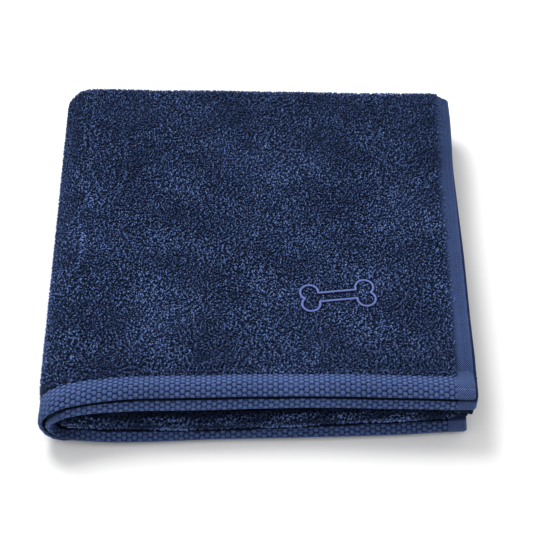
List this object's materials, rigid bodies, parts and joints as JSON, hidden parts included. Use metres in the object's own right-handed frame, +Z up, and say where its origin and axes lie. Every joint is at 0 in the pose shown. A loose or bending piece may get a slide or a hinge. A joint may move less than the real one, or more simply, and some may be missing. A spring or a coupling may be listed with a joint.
{
  "type": "folded dog towel",
  "caption": "Terry towel folded in quarters lengthwise and then once side to side, with flat woven borders and turned hems at its front and a soft fold at its left.",
  "frame": {"origin": "bottom centre of the folded towel's bounding box, on the surface that it rests on", "axes": "+X to the right, away from the side fold; +Y to the back, away from the hems; +Z up through the stack of layers"},
  "size_m": [0.3564, 0.3746, 0.0512],
  "materials": {
    "terry_cloth": "matt navy cotton terry with looped pile",
    "border_weave": "flat woven honeycomb cotton, slightly lighter navy",
    "motif_thread": "satin stitched periwinkle thread with a soft sheen"
  },
  "bodies": {
    "root": {"towel": "terry_cloth"}
  },
  "joints": []
}
